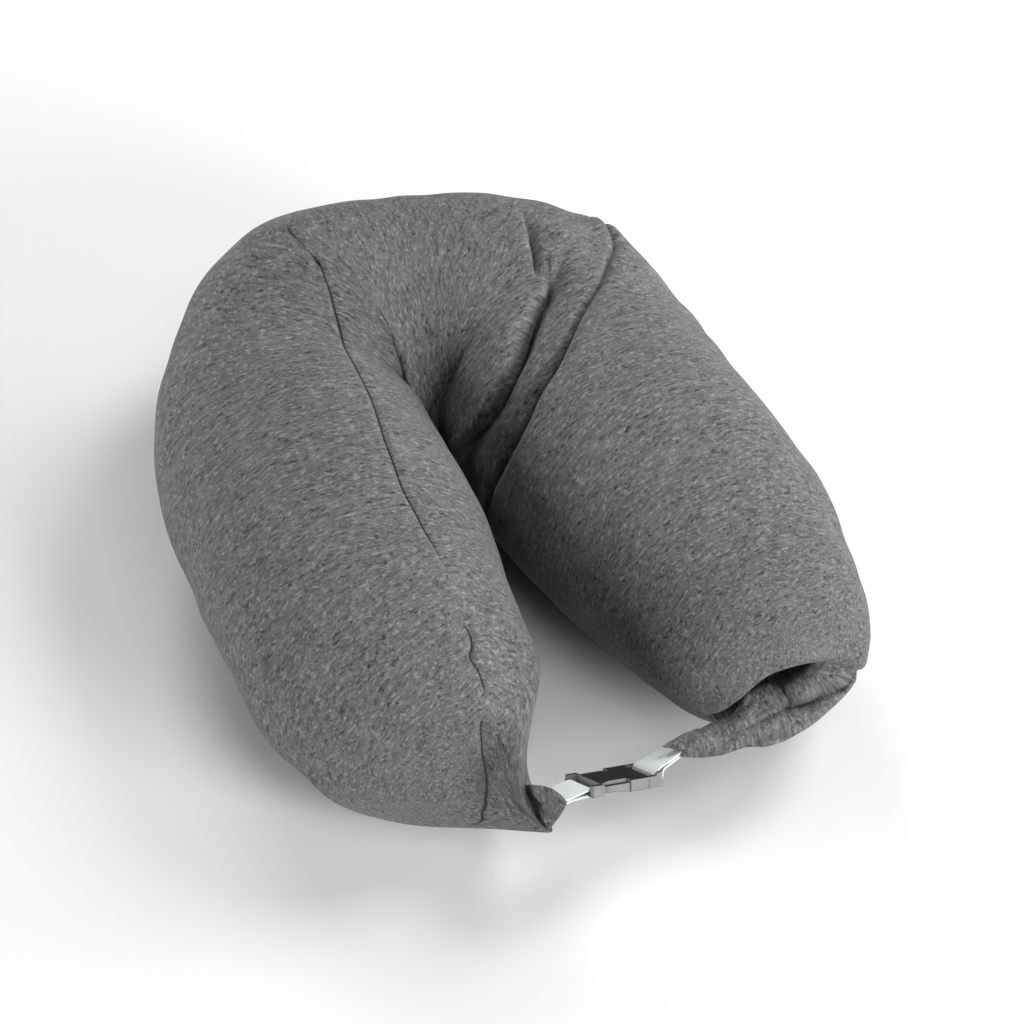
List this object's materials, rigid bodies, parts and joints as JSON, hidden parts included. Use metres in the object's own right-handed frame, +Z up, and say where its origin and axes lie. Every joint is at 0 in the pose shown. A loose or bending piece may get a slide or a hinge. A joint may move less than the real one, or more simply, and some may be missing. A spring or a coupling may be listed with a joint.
{
  "type": "travel neck pillow",
  "caption": "Long bead-filled jersey tube bent into a U as a neck pillow, with gathered end tails joined by webbing loops and a side-release buckle.",
  "frame": {"origin": "bottom centre of the whole object's box, on the surface that the pillow lies on", "axes": "+Z up out of the lying pillow, -Y towards the buckle and the open side of the U, +Y towards its back"},
  "size_m": [0.3196, 0.4058, 0.1484],
  "materials": {
    "jersey": "heather grey knitted jersey, matte, fine light and dark flecks running round the tube",
    "webbing": "off-white woven polypropylene webbing, 20 mm",
    "buckle": "dark grey moulded acetal, fine satin grain"
  },
  "bodies": {
    "root": {"pillow_body": "jersey", "tail_left": "jersey", "tail_right": "jersey", "webbing_left": "webbing", "webbing_right": "webbing", "buckle_plug": "buckle", "buckle_socket": "buckle"}
  },
  "joints": []
}
